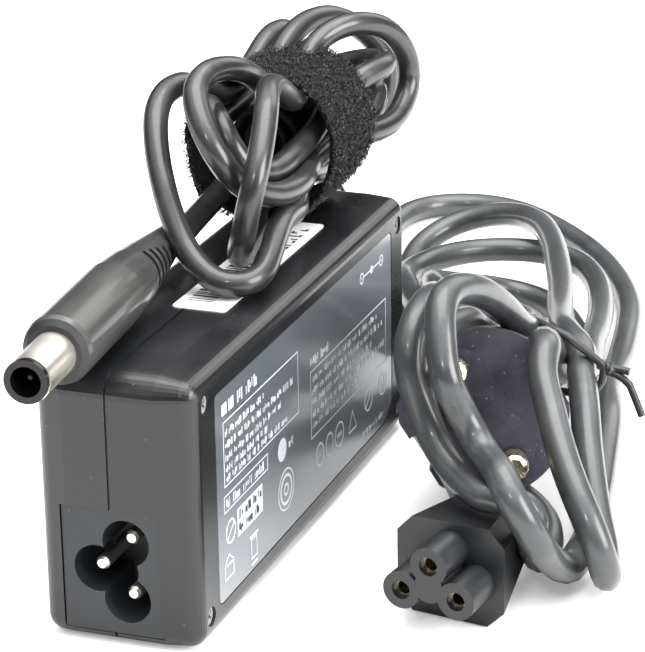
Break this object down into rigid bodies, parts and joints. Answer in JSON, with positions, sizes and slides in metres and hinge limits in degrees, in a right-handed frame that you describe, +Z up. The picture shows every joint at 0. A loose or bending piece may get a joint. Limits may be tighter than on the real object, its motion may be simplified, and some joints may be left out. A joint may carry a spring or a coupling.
{
  "type": "laptop power adapter",
  "caption": "Laptop power adapter: slim black brick with a clover mains inlet, a strapped barrel-plug output lead folded on top and a coiled mains lead beside it.",
  "frame": {"origin": "middle of the brick's underside, standing on its long narrow side", "axes": "+X out of the labelled face, across the thickness; +Y from the mains inlet end towards the output cord end; +Z up"},
  "size_m": [0.0976, 0.2527, 0.0836],
  "materials": {
    "case_label": "fine matt texture",
    "case_plain": "fine matt texture",
    "dark_steel": "blackened steel",
    "label_film": "satin printed film",
    "sticker_paper": "matt paper",
    "inlet_plastic": "semi-gloss moulding",
    "pin_brass": "plated brass",
    "pin_nickel": "nickel plate",
    "sleeve_black": "matt",
    "board_green": "solder mask",
    "wire_brown": "matt insulation",
    "fuse_ceramic": "glazed ceramic",
    "film_capacitor": "gloss case",
    "choke_copper": "enamelled wire",
    "package_black": "moulded epoxy",
    "capacitor_blue": "shrink sleeve",
    "sink_aluminium": "rolled sheet",
    "ferrite_grey": "sintered ferrite",
    "winding_tape": "polyester tape",
    "capacitor_black": "shrink sleeve",
    "sheet_cream": "insulating paper",
    "wire_black": "matt insulation",
    "gland_rubber": "matt",
    "dc_cord": "matt sheath",
    "dc_plug_rubber": "satin moulding",
    "strap_fabric": "hook-and-loop pile",
    "connector_black": "satin moulding",
    "mains_cord": "soft gloss sheath",
    "plug_plastic": "satin moulding",
    "tie_black": "plastic-coated wire"
  },
  "bodies": {
    "adapter": {"label_side_shell": "case_label", "plain_side_shell": "case_plain", "shell_screws": "dark_steel", "rating_label": "label_film", "barcode_sticker": "sticker_paper", "inlet_body": "inlet_plastic", "inlet_line_pins": "pin_brass", "inlet_earth_pin": "pin_nickel", "inlet_pin_sleeves": "sleeve_black", "circuit_board": "board_green", "input_wires": "wire_brown", "fuse": "fuse_ceramic", "filter_capacitor": "film_capacitor", "line_choke": "choke_copper", "bridge_rectifier": "package_black", "bulk_capacitor": "capacitor_blue", "primary_heat_sink": "sink_aluminium", "switching_transistor": "package_black", "transformer_core": "ferrite_grey", "transformer_winding": "winding_tape", "secondary_heat_sink": "sink_aluminium", "output_rectifier": "package_black", "output_capacitors": "capacitor_black", "feedback_coupler": "package_black", "insulation_sheet": "sheet_cream", "output_wires": "wire_black", "dc_gland": "gland_rubber", "dc_cord_start": "dc_cord", "dc_cord_hank": "dc_cord", "dc_cord_tail": "dc_cord", "dc_plug_moulding": "dc_plug_rubber", "dc_plug_barrel": "pin_nickel", "dc_plug_insulator": "sleeve_black", "dc_plug_centre_pin": "pin_brass", "cable_strap": "strap_fabric"},
    "mains_lead": {"mains_connector": "connector_black", "connector_boot": "connector_black", "connector_contacts": "pin_brass", "mains_cord_start": "mains_cord", "mains_cord_coil": "mains_cord", "mains_cord_end": "mains_cord", "mains_plug": "plug_plastic", "mains_plug_pins": "pin_brass", "mains_pin_sleeves": "sleeve_black", "plug_earth_contacts": "pin_brass", "twist_tie": "tie_black"}
  },
  "joints": [
    {"name": "mains_lead_slide", "type": "slide", "parent": "adapter", "child": "mains_lead", "axis": [1, 0, 0], "range_m": [0, 0.1]}
  ]
}
